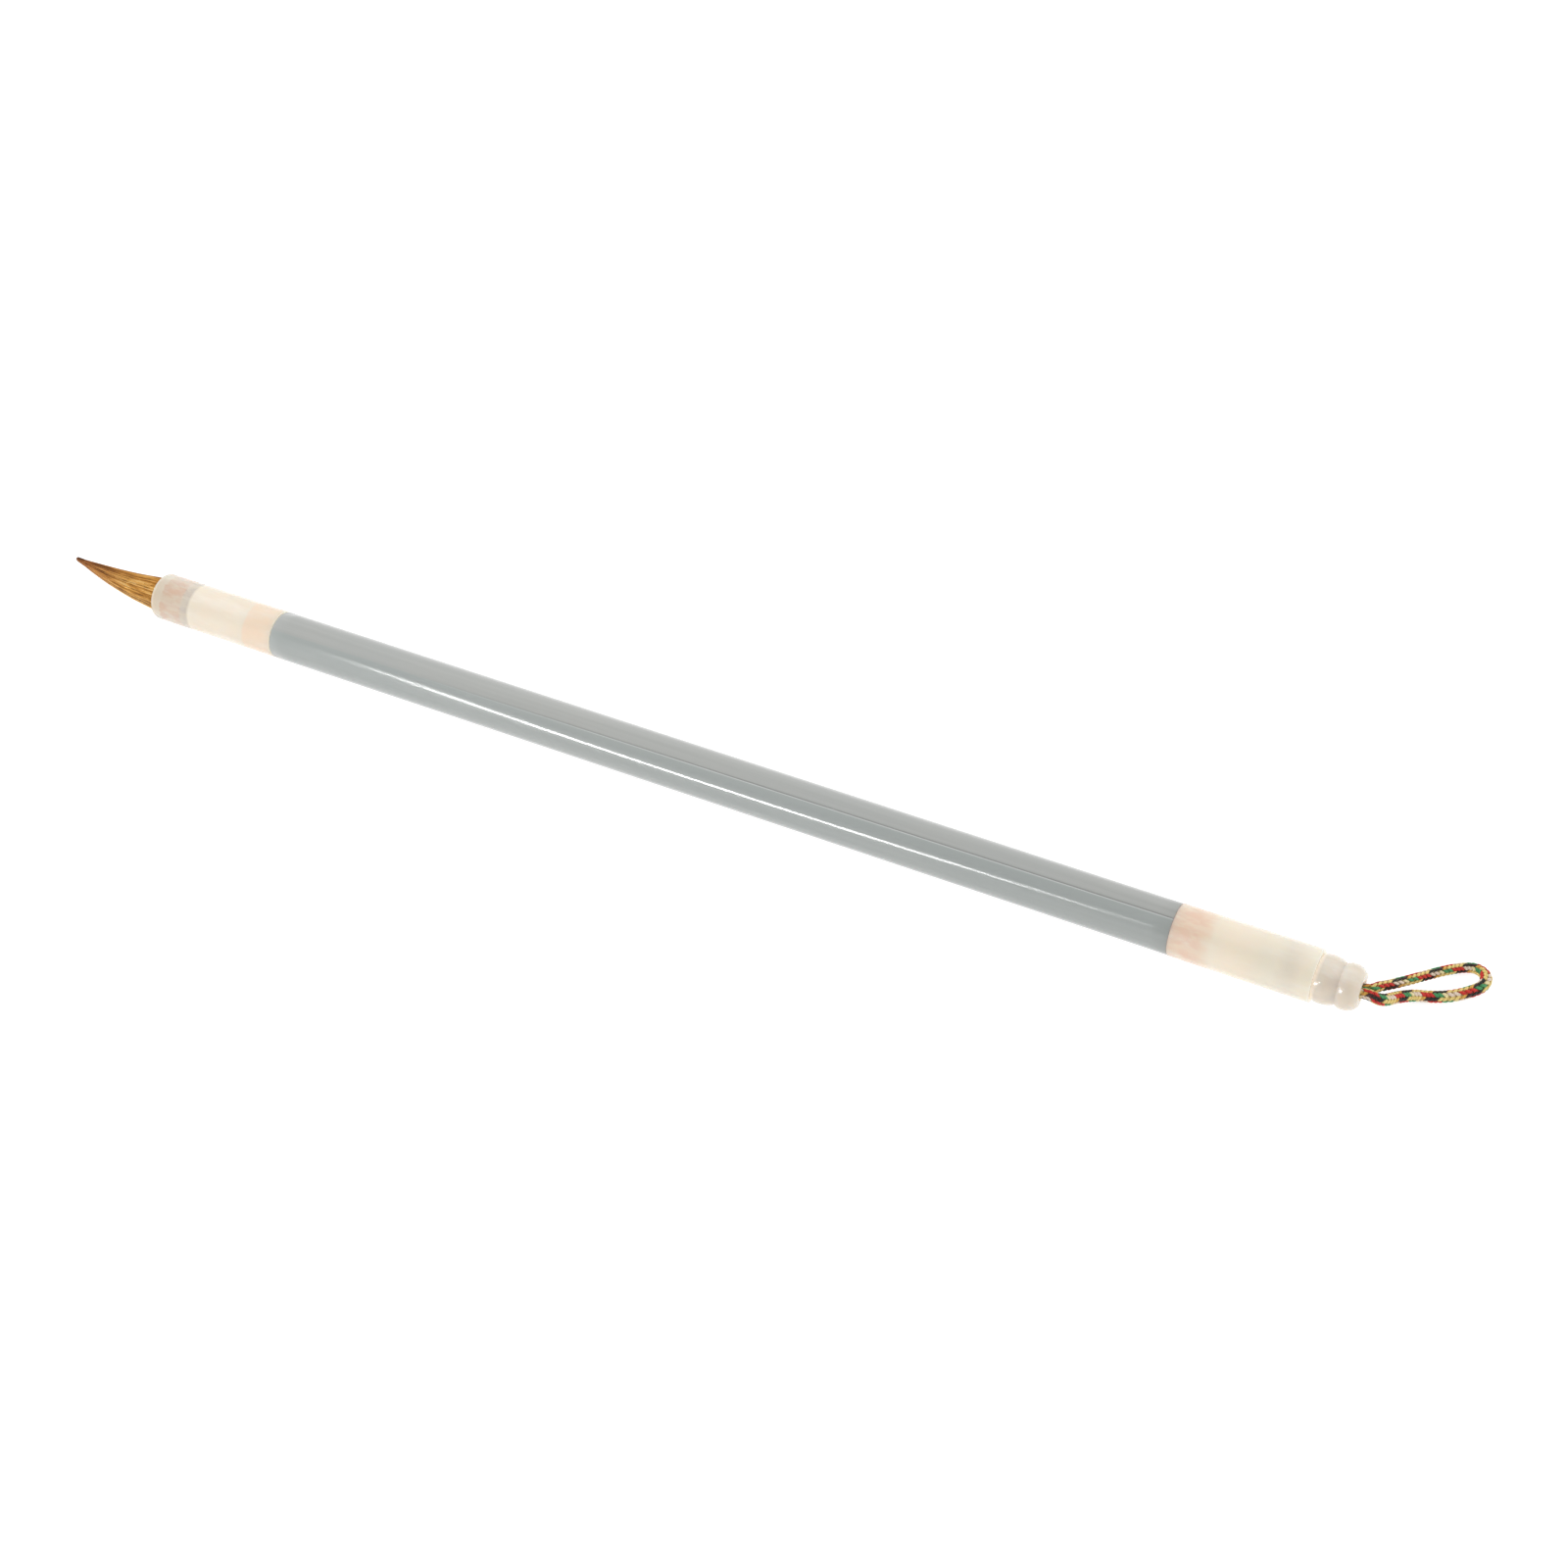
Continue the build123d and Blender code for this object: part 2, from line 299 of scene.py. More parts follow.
class Material:
    """Shorthand for building one procedural material around a Principled shader."""

    def __init__(self, name, **settings):
        self.made = bpy.data.materials.new(name)
        self.made.use_nodes = True
        self.nodes, self.links = self.made.node_tree.nodes, self.made.node_tree.links
        self.shader = self.nodes["Principled BSDF"]
        for key, value in settings.items():
            self.shader.inputs[key.replace("_", " ")].default_value = value
        self.coords = self.nodes.new("ShaderNodeTexCoord").outputs["Object"]

    def node(self, kind, **inputs):
        made = self.nodes.new("ShaderNode" + kind)
        for key, value in inputs.items():
            self.put(made.inputs[key.replace("_", " ")], value)
        return made

    def put(self, socket, value):
        if isinstance(value, bpy.types.NodeSocket):
            self.links.new(value, socket)
        else:
            socket.default_value = value

    def math(self, operation, *values, clamp=False):
        made = self.nodes.new("ShaderNodeMath")
        made.operation, made.use_clamp = operation, clamp
        for socket, value in zip(made.inputs, values):
            self.put(socket, value)
        return made.outputs[0]

    def stretched(self, scale):
        return self.node("Mapping", Vector=self.coords, Scale=scale).outputs[0]

    def noise(self, scale, detail=3.0, roughness=0.5, vector=None):
        where = self.coords if vector is None else vector
        made = self.node("TexNoise", Vector=where, Scale=scale, Detail=detail, Roughness=roughness)
        return made.outputs["Fac"]

    def ramp(self, value, *stops):
        made = self.node("ValToRGB", Fac=value)
        band = made.color_ramp
        while len(band.elements) < len(stops):
            band.elements.new(0.5)
        for element, (place, colour) in zip(band.elements, stops):
            element.position = place
            element.color = (*colour, 1) if len(colour) == 3 else colour
        return made.outputs[0]

    def grey(self, value, low, high, start=0.0, end=1.0):
        made = self.node("MapRange", Value=value)
        for key, number in (("From Min", start), ("From Max", end), ("To Min", low), ("To Max", high)):
            made.inputs[key].default_value = number
        return made.outputs[0]

    def mix(self, factor, a, b, blend="MIX"):
        made = self.nodes.new("ShaderNodeMix")
        made.data_type, made.blend_type = "RGBA", blend
        self.put(made.inputs["Factor"], factor)
        self.put(made.inputs["A"], a if isinstance(a, bpy.types.NodeSocket) else (*a, 1))
        self.put(made.inputs["B"], b if isinstance(b, bpy.types.NodeSocket) else (*b, 1))
        return made.outputs["Result"]

    def value(self, name):
        made = self.nodes.new("ShaderNodeAttribute")
        made.attribute_name = name
        return made.outputs["Fac"]

    def bump(self, height, distance, strength=1.0):
        made = self.node("Bump", Height=height, Distance=distance, Strength=strength)
        self.put(self.shader.inputs["Normal"], made.outputs[0])

    def set(self, **inputs):
        for key, value in inputs.items():
            self.put(self.shader.inputs[key.replace("_", " ")], value)
        return self

    def station(self):
        """Position along the brush and distance from its axis, in the row frame."""
        parts = self.node("SeparateXYZ", Vector=self.coords)
        up = self.math("SUBTRACT", parts.outputs["Z"], AXIS_Z)
        squares = self.math("ADD", self.math("POWER", parts.outputs["Y"], 2.0), self.math("POWER", up, 2.0))
        return parts.outputs["X"], self.math("SQRT", squares)


def lacquer_material():
    """Warm grey gloss lacquer with faint lengthwise streaks; from its one fine seam, which is darkened
    with painted shade and edged with a painted highlight, the tone turns cooler for half the way round."""
    m = Material("grey_lacquer", Specular_IOR_Level=0.1, Coat_Weight=0.8, Coat_IOR=1.5, Coat_Roughness=0.11)
    streaks = m.noise(900, 4, vector=m.stretched((0.02, 1, 1)))
    cloud = m.noise(45, 2)
    base = m.ramp(streaks, (0.3, (0.37, 0.378, 0.362)), (0.7, (0.42, 0.426, 0.409)))
    base = m.mix(m.grey(cloud, 0.0, 0.3, 0.35, 0.65), base, (0.365, 0.385, 0.38))
    base = m.mix(m.math("MULTIPLY", m.value("cool"), 0.6), base, (0.34, 0.38, 0.372))
    # Painted shade: the seam's groove is darkened
    base = m.mix(m.math("MULTIPLY", m.value("seam"), 0.45), base, (0.16, 0.155, 0.15))
    # Painted highlight: a bright line beside the seam stands in for light caught on its edge
    base = m.mix(m.math("MULTIPLY", m.value("lip"), 0.65), base, (0.72, 0.73, 0.72))
    m.set(Base_Color=base, Roughness=m.grey(streaks, 0.25, 0.36))
    m.bump(m.noise(2500, 2, vector=m.stretched((0.05, 1, 1))), 0.002 * MM, 0.4)
    return m.made


def resin_material(name, colour, deep, ghosts=(), patches=(), clear=(), joint=None):
    """Cloudy resin. ghosts are (start, end, soft edge, colour, strength) bands of what shows dimly
    inside, and at the ferrule's rims of painted highlight; patches are the same but broken up. clear is
    (start, end, alpha): a stretch where the wall lets its contents be seen. joint is (station, hole
    radius): a hidden seat and a hole whose walls glow by emission, painted light for the light that comes
    through, lifting the shade there."""
    m = Material(name, IOR=1.5, Coat_Weight=0.3, Coat_Roughness=0.08)
    cloud = m.noise(160, 4, 0.55, m.stretched((0.6, 1, 1)))
    wisps = m.noise(420, 3, 0.6, m.stretched((0.22, 1, 1)))
    base = m.mix(m.grey(cloud, 0.0, 1.0, 0.35, 0.7), colour, deep)
    base = m.mix(m.grey(wisps, 0.0, 0.4, 0.5, 0.75), base, (0.92, 0.88, 0.82))
    x, radius = m.station()
    for start, end, soft, tint, strength in ghosts:
        place = m.math("ADD", x, m.grey(cloud, -soft, soft, 0.3, 0.7))
        rise = m.grey(place, 0.0, 1.0, start - soft, start + soft)
        fall = m.grey(place, 1.0, 0.0, end - soft, end + soft)
        streaky = m.grey(wisps, strength, strength * 0.55, 0.35, 0.75)
        base = m.mix(m.math("MULTIPLY", m.math("MINIMUM", rise, fall), streaky), base, tint)
    blots = m.noise(800, 3, 0.6, m.stretched((0.35, 1, 1)))
    for start, end, soft, tint, strength in patches:
        place = m.math("ADD", x, m.grey(blots, -0.5 * MM, 0.5 * MM, 0.3, 0.7))
        rise = m.grey(place, 0.0, 1.0, start - soft, start + soft)
        fall = m.grey(x, 1.0, 0.0, end - soft, end + soft)
        broken = m.grey(blots, 0.25 * strength, strength, 0.42, 0.58)
        base = m.mix(m.math("MULTIPLY", m.math("MINIMUM", rise, fall), broken), base, tint)
    m.set(Base_Color=base, Roughness=m.grey(wisps, 0.18, 0.3))
    m.set(Subsurface_Weight=0.8, Subsurface_Radius=(1.0, 0.8, 0.6), Subsurface_Scale=2.5 * MM)
    m.bump(m.noise(700, 2), 0.02 * MM, 0.25)
    if joint:
        seat, hole = joint
        # Emission is painted light: it lifts the shade inside the cord hole and the socket's shadow on the
        # knob beside the seat
        inside = m.grey(radius, 0.36, 0.0, hole + 0.05 * MM, hole + 0.3 * MM)
        beside = m.grey(m.math("ABSOLUTE", m.math("SUBTRACT", x, seat)), 0.42, 0.0, 0.2 * MM, 0.75 * MM)
        m.set(Emission_Color=(*deep, 1), Emission_Strength=m.math("MAXIMUM", inside, beside))
    if clear:
        start, end, alpha = clear
        shell = m.grey(radius, 0.0, 1.0, CUP_R + 0.03 * MM, CUP_R + 0.06 * MM)
        soft = 0.3 * MM
        rise = m.grey(x, 1.0, 0.0, start - soft, start + soft)
        fall = m.grey(x, 0.0, 1.0, end - soft, end + soft)
        solid = m.math("MAXIMUM", rise, fall)
        wall = m.math("ADD", m.math("MULTIPLY", solid, 1 - alpha), alpha)
        m.set(Alpha=m.math("MULTIPLY", wall, shell))
    return m.made


def hair_material(name="weasel_hair", painted_shade=0.0):
    """Sleek golden brown hair, strand by strand, redder and darker towards the tip."""
    m = Material(name, Roughness=0.36, IOR=1.5, Specular_IOR_Level=0.35, Specular_Tint=(1.0, 0.78, 0.45, 1))
    shade, along = m.value("shade"), m.value("along")
    flecks = m.noise(1500, 2, vector=m.stretched((0.15, 1, 1)))
    tone = m.math("ADD", shade, m.grey(flecks, -0.18, 0.18, 0.3, 0.7))
    # This lowers every tone: a shaded copy of the hair, painted shade for what lies under the mantle
    tone = m.math("SUBTRACT", tone, painted_shade, clamp=True)
    gold = m.ramp(
        tone,
        (0.0, (0.12, 0.035, 0.006)),
        (0.28, (0.42, 0.165, 0.025)),
        (0.55, (0.72, 0.36, 0.07)),
        (0.8, (0.90, 0.56, 0.17)),
        (1.0, (0.98, 0.78, 0.38)),
    )
    russet = m.ramp(tone, (0.0, (0.11, 0.03, 0.012)), (0.5, (0.50, 0.17, 0.05)), (1.0, (0.82, 0.40, 0.16)))
    m.set(Base_Color=m.mix(m.grey(along, 0.0, 0.85, 0.35, 0.9), gold, russet))
    m.bump(m.noise(4000, 2, vector=m.stretched((0.04, 1, 1))), 0.02 * MM, 0.6)
    return m.made


def soaked_hair_material():
    """The tied root, pale and pinkish where glue has soaked it."""
    m = Material("soaked_hair", Roughness=0.4)
    patches = m.noise(500, 3, 0.6, m.stretched((0.5, 1, 1)))
    tone = m.math("ADD", m.value("shade"), m.grey(patches, -0.3, 0.3, 0.3, 0.7), clamp=True)
    colour = m.ramp(tone, (0.2, (0.42, 0.20, 0.11)), (0.6, (0.74, 0.46, 0.30)), (0.9, (0.92, 0.72, 0.56)))
    m.set(Base_Color=colour)
    m.bump(m.noise(3000, 2, vector=m.stretched((0.1, 1, 1))), 0.02 * MM, 0.6)
    return m.made


def thread_material():
    m = Material("binding_thread", Roughness=0.6, Sheen_Weight=0.3)
    fibres = m.noise(5000, 3)
    m.set(Base_Color=m.ramp(fibres, (0.3, (0.80, 0.56, 0.44)), (0.7, (0.96, 0.80, 0.70))))
    m.bump(fibres, 0.03 * MM, 0.6)
    return m.made


def wood_material():
    m = Material("bare_wood", Roughness=0.6)
    grain = m.noise(700, 4, 0.6, m.stretched((0.04, 1, 1)))
    m.set(Base_Color=m.ramp(grain, (0.3, (0.62, 0.36, 0.20)), (0.7, (0.80, 0.55, 0.36))))
    m.bump(grain, 0.03 * MM, 0.5)
    return m.made


def glue_material():
    """Set glue, grey and cloudy with small bubbles."""
    m = Material("clear_glue", Roughness=0.15, IOR=1.5)
    bubbles = m.noise(1400, 3)
    m.set(Base_Color=m.ramp(bubbles, (0.35, (0.40, 0.36, 0.35)), (0.65, (0.62, 0.56, 0.53))))
    m.bump(bubbles, 0.05 * MM, 0.5)
    return m.made


def cord_material():
    """Dyed braid: each yarn has one of eight colours, with fine twisted filaments."""
    m = Material("braided_cord", Roughness=0.55, Specular_IOR_Level=0.3, Sheen_Weight=0.03)
    dye = m.value("dye")
    colours = m.ramp(
        dye,
        (0.0, (0.016, 0.017, 0.012)),
        (0.12, (0.05, 0.018, 0.018)),
        (0.24, (0.07, 0.34, 0.13)),
        (0.36, (0.66, 0.03, 0.022)),
        (0.48, (0.76, 0.42, 0.08)),
        (0.6, (0.90, 0.70, 0.24)),
        (0.72, (0.92, 0.82, 0.46)),
        (0.84, (0.87, 0.73, 0.60)),
    )
    m.nodes[-1].color_ramp.interpolation = "CONSTANT"
    twist = m.node("TexWave", Vector=m.coords, Scale=900.0, Distortion=3.0, Detail=2.0).outputs["Fac"]
    fuzz = m.noise(3500, 2)
    lit = m.mix(m.grey(twist, 0.0, 0.4), colours, m.mix(1.0, colours, (0.6, 0.5, 0.42), "MULTIPLY"))
    lit = m.mix(m.grey(fuzz, 0.0, 0.05, 0.5, 0.8), lit, (0.90, 0.74, 0.42))
    # Painted shade: a yarn is darkened and tinted olive where it dips under the others
    lit = m.mix(m.grey(m.value("buried"), 0.0, 0.85), lit, m.mix(1.0, lit, (0.36, 0.27, 0.12), "MULTIPLY"))
    m.set(Base_Color=lit, Roughness=m.grey(fuzz, 0.45, 0.65))
    m.bump(twist, 0.03 * MM, 0.6)
    return m.made


def floor_material():
    """White table that stays white at the back, with only a trace of shadow."""
    m = Material("white_table", Base_Color=(0.3, 0.3, 0.3, 1), Roughness=0.6)
    m.set(Emission_Color=(1, 1, 1, 1), Emission_Strength=0.86)
    return m.made


# ---------------------------------------------------------------- hair and its binding


def hair_radius(out):
    """Outer radius of the tuft at a distance out of the ferrule; inside, the root narrows."""
    free = CUP_R * (1 - np.clip(out, 0, TUFT_OUT) / TUFT_OUT) ** TAPER_POWER
    left = np.clip((TUFT_OUT - out) / BLUNT_LENGTH, 0, 1)
    free = np.maximum(free, BLUNT_R * np.sqrt(1 - (1 - left) ** 2) + 0.02 * MM)
    narrow = np.clip(-out / ROOT_FLARE, 0, 1)
    return np.where(out < 0, CUP_R + (ROOT_TIED_R - CUP_R) * narrow, free)


def hair_point(out, share, angle):
    """Place in the tuft: distance out, share of the radius, and angle about its curved centre."""
    bend = (np.clip(out - PIVOT_OUT, 0, None) / (TUFT_OUT - PIVOT_OUT)) ** LIFT_POWER
    point = around_axis(MOUTH_X - out, share * hair_radius(out), angle)
    return point + np.stack([0 * bend, TIP_LIFT[0] * bend, TIP_LIFT[1] * bend], -1)


def mantle_hair(material):
    """Hairs drawn together into uneven clumps, each with its own tone and drift."""
    weave = Weave()
    width = TAU / CLUMPS
    middles = (np.arange(CLUMPS) + 0.5 + rng.uniform(-CLUMP_JITTER, CLUMP_JITTER, CLUMPS)) * width
    tones, drifts = rng.normal(0, 0.13, CLUMPS), rng.normal(0, 0.05, CLUMPS)
    for _ in range(HAIRS):
        angle = rng.uniform(0, TAU)
        end = TUFT_OUT * (1 - (1 - SHORTEST_HAIR) * rng.uniform() ** 1.6)
        start = -rng.uniform(0.3, 1.0) * MM
        out = start + (end - start) * np.linspace(0, 1, HAIR_STEPS)
        along = np.clip(out / TUFT_OUT, 0, 1)
        aside = (angle - middles + math.pi) % TAU - math.pi
        clump = np.argmin(abs(aside))
        off = np.clip(aside[clump] / (width / 2), -1.4, 1.4)
        turn = angle - aside[clump] * CLUMP_PULL * along**1.3 + drifts[clump] * along**1.5
        turn = turn + rng.normal(0, 0.035) * np.sin(along * rng.uniform(3, 7) + rng.uniform(0, TAU))
        share = rng.uniform(0.925, 0.985) - 0.05 * abs(off) * along
        tip = np.where(along > 0.9, 1.0, 0.0) * rng.normal(0, 0.25, HAIR_STEPS)
        path = hair_point(out, share * (1 + tip * 0.3), turn)
        radii = HAIR_R + (HAIR_END_R - HAIR_R) * np.linspace(0, 1, HAIR_STEPS) ** 2
        # Hairs at the edges of a clump are darker: painted shade in the gaps between clumps; the rest of the
        # tone differs at random
        tone = 0.48 + 0.2 * math.cos(off * math.pi) + tones[clump] + rng.normal(0, 0.15)
        back = np.clip(math.sin(angle - BACK_TURN), 0, 1) * np.clip(along * 2.2 - 0.9, 0, 1)
        weave.add(tube_rings(path, radii, 3), shade=np.clip(tone - BACK_SHADE * back, 0, 1), along=along)
    return weave.build("mantle_hair", material)


def core_hair(material):
    """Dense hair under the mantle, coloured darker as painted shade, and fluted, so that the gaps between
    clumps read as shadow.
    """
    steps, sides = 60, 180
    out = np.linspace(-0.6 * MM, TUFT_OUT * 0.985, steps)
    angle = np.arange(sides) * TAU / sides
    along = np.clip(out / TUFT_OUT, 0, 1)
    flutes = 0.02 * np.cos(angle * CLUMPS) + 0.012 * np.sin(angle * 47 + 1.3)
    deepening = np.minimum(along * 4 + 0.3, 1)
    rings = [hair_point(o, UNDER_HAIR_SHARE + flutes * deep, angle) for o, deep in zip(out, deepening)]
    weave = Weave()
    # The low tone is painted shade as well
    weave.add(np.array(rings), shade=0.35, along=along)
    return weave.build("core_hair", material)


def root_hair(material):
    """The tied root in the cup, cut off square at its back."""
    weave = Weave()
    for _ in range(ROOT_HAIRS):
        angle = rng.uniform(0, TAU)
        out = -np.linspace(0.7 * MM, ROOT_DEPTH - rng.uniform(0, 0.5) * MM, 8)
        path = hair_point(out, rng.uniform(0.93, 0.97), np.full(8, angle) + rng.normal(0, 0.02))
        weave.add(tube_rings(path, HAIR_R * 1.3, 4), shade=np.clip(rng.normal(0.5, 0.2), 0, 1))
    angle = np.arange(64) * TAU / 64
    depth = np.linspace(0.75 * MM, ROOT_DEPTH - 0.3 * MM, 12)
    weave.add(np.array([hair_point(-d, 0.93, angle) for d in depth]), shade=0.45)
    return weave.build("root_hair", material)


def thread_binding(material):
    turn = np.linspace(0, TAU * THREAD_TURNS, THREAD_TURNS * 48)
    x = MOUTH_X + THREAD_START + THREAD_R + turn / TAU * 2 * THREAD_R * (1 - 1 / THREAD_TURNS)
    path = around_axis(x, ROOT_TIED_R + THREAD_R, turn)
    weave = Weave()
    weave.add(tube_rings(path, THREAD_R, 8))
    return weave.build("thread_binding", material)


def cup_glue(material):
    """The glue that fills the cup behind the root and wraps the root's end."""
    rim, round_off, wrap = CUP_R - 0.04 * MM, 0.3 * MM, 0.5 * MM
    back, end = MOUTH_X + ROOT_DEPTH + 0.05 * MM, CUP_END_X - 0.05 * MM
    inside = ROOT_TIED_R + 0.05 * MM
    outline = [(back - wrap, rim), (end - round_off, rim), (end, rim - round_off), (end, 0.2 * MM),
               (back, 0.2 * MM), (back, inside), (back - wrap, inside)]
    return lathe("cup_glue", outline, material)


# ---------------------------------------------------------------- handle


def wooden_core(material):
    """Turned rod with a chamfered tenon at each end, a hair's breadth under its bores."""
    body = CORE_R - 0.03 * MM
    front, rear = FERRULE_END_X + 0.05 * MM, SOCKET_X - 0.05 * MM
    start, end = CORE_START_X, CORE_END_X
    tip = TENON_R - TENON_CHAMFER
    outline = [(start, 0.01 * MM), (start, tip), (start + TENON_CHAMFER, TENON_R), (front, TENON_R),
               (front, body), (rear, body), (rear, TENON_R), (end - TENON_CHAMFER, TENON_R),
               (end, tip), (end, 0.01 * MM)]
    return lathe("wooden_core", outline, material, close=False)


def lacquer_sleeve(material):
    """The shaft's skin, with the shallow seam where its edges meet."""
    half = SEAM_HALF_WIDTH / SHAFT_R
    fine = np.array([-3, -1, -0.5, 0, 0.5, 1, 1.5, 2, 2.5, 3]) * half
    around = np.concatenate([fine, 3 * half + np.linspace(0, TAU - 6 * half, 192)[1:-1]])
    profile = np.exp(-((around / half) ** 2)) * (around < 4 * half)
    # Where the painted highlight lies, beside the seam
    lip_profile = np.exp(-(((around / half - 2) / 0.7) ** 2))
    cool_profile = np.clip(1 - around / math.pi, 0, 1) * (around > 0)
    inside = CORE_R + 0.01 * MM
    stations = [(FERRULE_END_X, inside, 0), (FERRULE_END_X, SHAFT_R - SLEEVE_EDGE, 0),
                (FERRULE_END_X + SLEEVE_EDGE, SHAFT_R, 1)]
    for step in range(1, SLEEVE_STATIONS):
        along = step / SLEEVE_STATIONS
        stations.append((FERRULE_END_X + (SOCKET_X - FERRULE_END_X) * along, SHAFT_R, 1))
    stations += [(SOCKET_X - SLEEVE_EDGE, SHAFT_R, 1), (SOCKET_X, SHAFT_R - SLEEVE_EDGE, 0),
                 (SOCKET_X, inside, 0)]
    weave = Weave()
    rings, values = [], {"seam": [], "lip": [], "cool": []}
    for x, r, on in stations:
        fade = on * np.clip((x - SEAM_FROM_X) / SEAM_FADE + 0.2, 0, 1)
        angle = SEAM_ANGLE + SEAM_TURN * (x - SEAM_FROM_X) + around
        rings.append(around_axis(x, r - fade * SEAM_DEPTH * profile, angle))
        values["seam"].append(fade * profile)
        values["lip"].append(fade * lip_profile)
        values["cool"].append(cool_profile)
    weave.add(np.array(rings), close=True)
    piece = weave.build("lacquer_sleeve", material)
    for name, rows in values.items():
        layer = piece.data.attributes.new(name, "FLOAT", "POINT")
        layer.data.foreach_set("value", np.concatenate(rows).astype(np.float32))
    return piece


# ---------------------------------------------------------------- braided cord

BLACK, BROWN, GREEN, RED, AMBER, GOLD, CREAM, WHITE = (0.05 + 0.12 * k for k in range(8))
RIGHT_HAND = [WHITE, RED, RED, RED, GREEN, GREEN, CREAM, WHITE]
LEFT_HAND = [BLACK, BROWN, AMBER, GOLD, GOLD, GOLD, GOLD, BLACK]


def braid(weave, path, wound, turned=0.0, swell=1.0):
    """Yarns wound opposite ways. Each set comes to the top on columns of its own along the cord,
    so that the yarns of one hand lie there one behind another. wound is the number of turns made
    at each point, turned rotates the columns about the cord, and swell makes it fuller where it
    lies slack."""
    side, up = carried_frames(path)
    turn = TAU * wound
    half_width, half_thick = YARN_HALF_WIDTH * swell, YARN_HALF_THICKNESS * swell
    middle_r = CORD_D / 2 * swell - half_thick - YARN_WEAVE
    for hand, dyes in ((1, RIGHT_HAND), (-1, LEFT_HAND)):
        for yarn, dye in enumerate(dyes):
            angle = hand * turn + yarn * TAU / len(dyes)
            rise = hand * np.cos(angle * len(dyes) / 2)
            rise = 1.1 * rise / np.sqrt(rise**2 + 0.21)
            out = np.cos(angle + turned)[:, None] * side + np.sin(angle + turned)[:, None] * up
            line = path + (middle_r + YARN_WEAVE * rise)[:, None] * out
            flat = YARN_HALF_THICKNESS / YARN_HALF_WIDTH
            rings = tube_rings(line, half_width, 10, flat, across=out, plies=PLY_DEPTH, lay=PLY_LENGTH)
            # How far each yarn dips under the others, which the colour darkens as painted shade
            weave.add(rings, dye=dye, buried=np.clip(1 - rise, 0, 1))
    weave.add(tube_rings(path, BRAID_CORE_R, 10), dye=BROWN, buried=1)


def exit_points():
    """Where the far and the near strand leave the knob's end face."""
    across = Vector((0, math.cos(STRAND_TILT), math.sin(STRAND_TILT))) * STRAND_OFFSET
    centre = Vector((KNOB_END_X, 0, AXIS_Z))
    return centre + across, centre - across


def loop_braid(material):
    far, near = exit_points()
    route = [far] + [Vector(p) * MM for p in LOOP_ROUTE] + [near]
    path = spline_points(route, 0.13 * MM)
    share = np.linspace(0, 1, len(path))
    swell = np.interp(share, SWELL_AT, (1, BRAID_SWELL, BRAID_SWELL, 1))
    weave = Weave()
    braid(weave, path, np.interp(travelled(path), WOUND_AT, WOUND), BRAID_TURN * (1 - share), swell)
    piece = weave.build("loop_braid", material)
    return piece, path, far


def tail_braids(material):
    """The two strands inside the knob's hole, from the knot to the end face."""
    weave = Weave()
    for end in exit_points():
        start = Vector((KNOB_X - KNOB_TENON + 0.1 * MM, end.y, end.z))
        share = np.linspace(0, 1, 70)[:, None]
        path = np.array(start) * (1 - share) + np.array(end) * share
        wound = WOUND[0] + (travelled(path) - (end.x - start.x)) / BRAID_PITCH
        braid(weave, path, wound, BRAID_TURN)
    return weave.build("tail_braids", material)


def knot(material):
    """A pulled-tight overhand knot in the chamber behind the knob."""
    low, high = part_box("loop_knot")
    middle = (low[0] + high[0]) / 2
    t = np.linspace(0, TAU, 180, endpoint=False)
    y = KNOT_WIDE * (np.sin(t) + 2 * np.sin(2 * t))
    z = KNOT_WIDE * (np.cos(t) - 2 * np.cos(2 * t))
    path = np.stack([middle - KNOT_THICK * np.sin(3 * t), y, AXIS_Z + z], -1)
    ripple = KNOT_CORD_R * (1 + 0.05 * np.cos(t * 60))
    dye = 0.07 + 0.6 * (np.sin(t * 12) > 0)
    weave = Weave()
    weave.add(tube_rings(path, ripple, 14, closed=True), close=True, dye=dye, buried=0)
    return weave.build("cord_knot", material)


# ---------------------------------------------------------------- stage


def paint(node, material):
    piece = bpy.data.objects[node]
    piece.data.materials.clear()
    piece.data.materials.append(material)


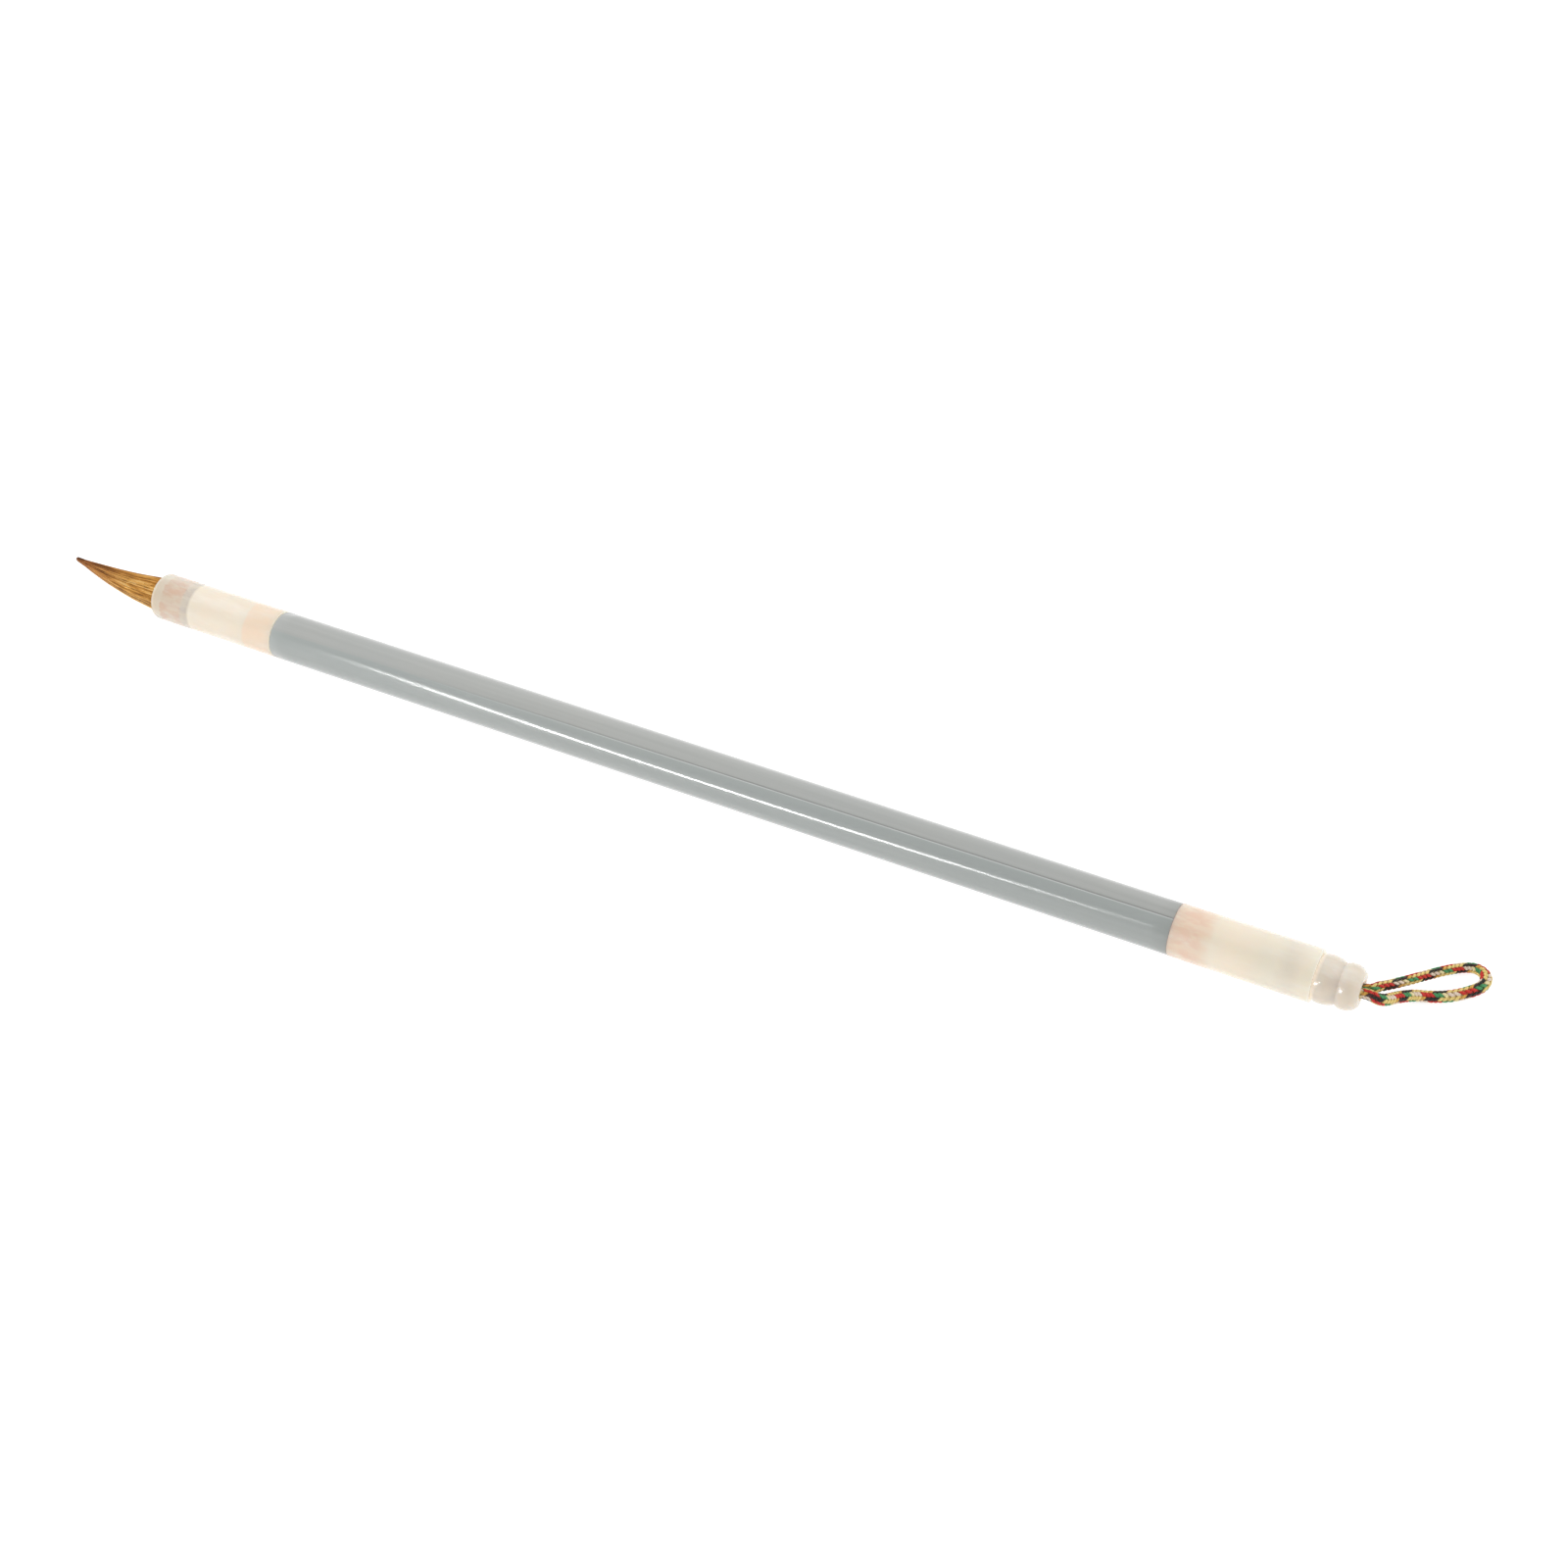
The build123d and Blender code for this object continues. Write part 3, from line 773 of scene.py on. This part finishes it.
def table_and_light():
    """White table, white room, the front strip and a soft fill for the left end."""
    bpy.ops.mesh.primitive_plane_add(size=8)
    table = bpy.context.object
    table.name = "table"
    table.data.materials.append(floor_material())

    world = bpy.data.worlds.new("white_room")
    world.use_nodes = True
    nodes, links = world.node_tree.nodes, world.node_tree.links
    facing = nodes.new("ShaderNodeVectorMath")
    facing.operation = "DOT_PRODUCT"
    facing.inputs[1].default_value = ROOM_FRONT
    links.new(nodes.new("ShaderNodeTexCoord").outputs["Generated"], facing.inputs[0])
    dim = nodes.new("ShaderNodeMapRange")
    dim.interpolation_type = "SMOOTHSTEP"
    for key, number in (("From Min", 0.5), ("From Max", 0.95), ("To Min", ROOM_BRIGHT), ("To Max", ROOM_DIM)):
        dim.inputs[key].default_value = number
    links.new(facing.outputs["Value"], dim.inputs["Value"])
    seen = nodes.new("ShaderNodeMath")
    seen.operation = "MAXIMUM"
    links.new(dim.outputs[0], seen.inputs[0])
    links.new(nodes.new("ShaderNodeLightPath").outputs["Is Camera Ray"], seen.inputs[1])
    links.new(seen.outputs[0], nodes["Background"].inputs["Strength"])
    nodes["Background"].inputs["Color"].default_value = (1, 1, 1, 1)
    bpy.context.scene.world = world

    panel = 2.2 * STRIP_HALF / STRIP_PANELS
    for step in range(STRIP_PANELS):
        share = 2 * (step + 0.5) / STRIP_PANELS - 1
        place = (STRIP_X + share * STRIP_HALF, -STRIP_AWAY, STRIP_LOW + STRIP_BOW * share**2)
        power = STRIP_POWER / STRIP_PANELS * (1 - abs(share) ** (3 if share < 0 else 1.5))
        light = area_light(f"front_strip_{step}", place, STRIP_AIM, panel, STRIP_HEIGHT, power)
        light.visible_diffuse = False
    fill = area_light("left_fill", FILL_AT, FILL_AIM, FILL_SIZE, FILL_SIZE, FILL_POWER)
    fill.visible_glossy = False


def area_light(name, place, at, width, height, power):
    data = bpy.data.lights.new(name, "AREA")
    data.shape, data.size, data.size_y, data.energy = "RECTANGLE", width, height, power
    light = bpy.data.objects.new(name, data)
    bpy.context.scene.collection.objects.link(light)
    light.location = place
    light.rotation_euler = (Vector(at) - Vector(place)).to_track_quat("-Z", "Y").to_euler()
    light.visible_camera = False
    return light


def camera():
    data = bpy.data.cameras.new("camera")
    data.lens, data.sensor_width, data.clip_start = LENS, 36, 0.01
    eye = bpy.data.objects.new("camera", data)
    bpy.context.scene.collection.objects.link(eye)
    level = math.cos(ELEVATION)
    back = Vector((math.sin(AZIMUTH) * level, -math.cos(AZIMUTH) * level, math.sin(ELEVATION)))
    eye.location = Vector(AIM) + back * DISTANCE
    eye.rotation_euler = (math.pi / 2 - ELEVATION, 0, AZIMUTH)
    bpy.context.scene.camera = eye


def show(piece, body, slot, *nodes):
    if body:
        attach(piece, body)
    if nodes:
        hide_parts(*nodes)


def cord_pieces():
    cord = cord_material()
    piece, path, exit_point = loop_braid(cord)
    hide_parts("hanging_loop")
    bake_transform(piece)
    show(tail_braids(cord), "handle", "braided_cord", "loop_tails")
    show(knot(cord), "handle", "braided_cord", "loop_knot")


def hair_pieces():
    hair = hair_material()
    # A darker copy of the hair, painted shade for the hair under the mantle
    under = hair_material("shaded_under_hair", 0.28)
    for piece, node in ((mantle_hair(hair), "tuft_mantle"), (core_hair(under), "tuft_core")):
        show(piece, None, "weasel_hair", node)
        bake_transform(piece)
    show(root_hair(soaked_hair_material()), "handle", "weasel_hair", "tuft_root")
    show(thread_binding(thread_material()), "handle", "binding_thread", "root_binding")
    show(cup_glue(glue_material()), "handle", "clear_glue", "root_glue")


def shaft_pieces():
    show(wooden_core(wood_material()), "handle", "bare_wood", "shaft_core")
    show(lacquer_sleeve(lacquer_material()), "handle", "grey_lacquer", "shaft_sleeve")


def front_resin():
    """The ferrule: clear over the hair cup, peach over the core's tenon, with painted highlights on its rims.
    """
    root_from, plug_from = MOUTH_X + 2.6 * MM, MOUTH_X + ROOT_DEPTH - 0.2 * MM
    return resin_material(
        "front_resin", (0.81, 0.73, 0.61), (0.80, 0.70, 0.57),
        ghosts=[(CORE_START_X, FERRULE_END_X + 1 * MM, 0.25 * MM, PEACH, 0.75),
                # Painted highlight bands at the ferrule's back rim and at its mouth
                (FERRULE_END_X - 0.3 * MM, FERRULE_END_X + 1 * MM, 0.1 * MM, RIM_HIGHLIGHT, 0.7),
                (MOUTH_X - 1 * MM, MOUTH_X + 0.4 * MM, 0.05 * MM, RIM_HIGHLIGHT, 0.9)],
        patches=[(root_from, plug_from, 0.15 * MM, (0.74, 0.48, 0.36), 0.65),
                 (plug_from, CUP_END_X, 0.15 * MM, (0.56, 0.50, 0.47), 0.5)],
        clear=(MOUTH_X - 2 * MM, CUP_END_X + 0.2 * MM, 0.76))


def rear_resin():
    """The socket: peach and streaky over the core's tenon, ashen over the knot's chamber."""
    return resin_material(
        "rear_resin", (0.89, 0.80, 0.67), (0.87, 0.77, 0.63),
        ghosts=[(SOCKET_X - 1 * MM, CORE_END_X, 0.8 * MM, PEACH, 0.55),
                (SOCKET_X - 1 * MM, SOCKET_X + 0.3 * MM, 0.1 * MM, (0.75, 0.50, 0.38), 0.5),
                (KNOB_X - 5.5 * MM, KNOB_X - 2.5 * MM, 1 * MM, ASH, 0.3)],
        patches=[(SOCKET_X - 2 * MM, CORE_END_X - 0.5 * MM, 1.5 * MM, (0.82, 0.54, 0.42), 0.6)])


def knob_resin():
    return resin_material(
        "knob_resin", (0.76, 0.68, 0.57), (0.72, 0.64, 0.54),
        ghosts=[(KNOB_X + 3.5 * MM, KNOB_X + 5 * MM, 0.8 * MM, ASH, 0.3)],
        joint=(KNOB_X, CORD_HOLE_R))


def main():
    bpy.context.scene.view_settings.view_transform = "Standard"
    camera()
    table_and_light()
    cord_pieces()
    hair_pieces()
    shaft_pieces()
    paint("front_ferrule", front_resin())
    paint("rear_socket", rear_resin())
    paint("end_knob", knob_resin())


main()
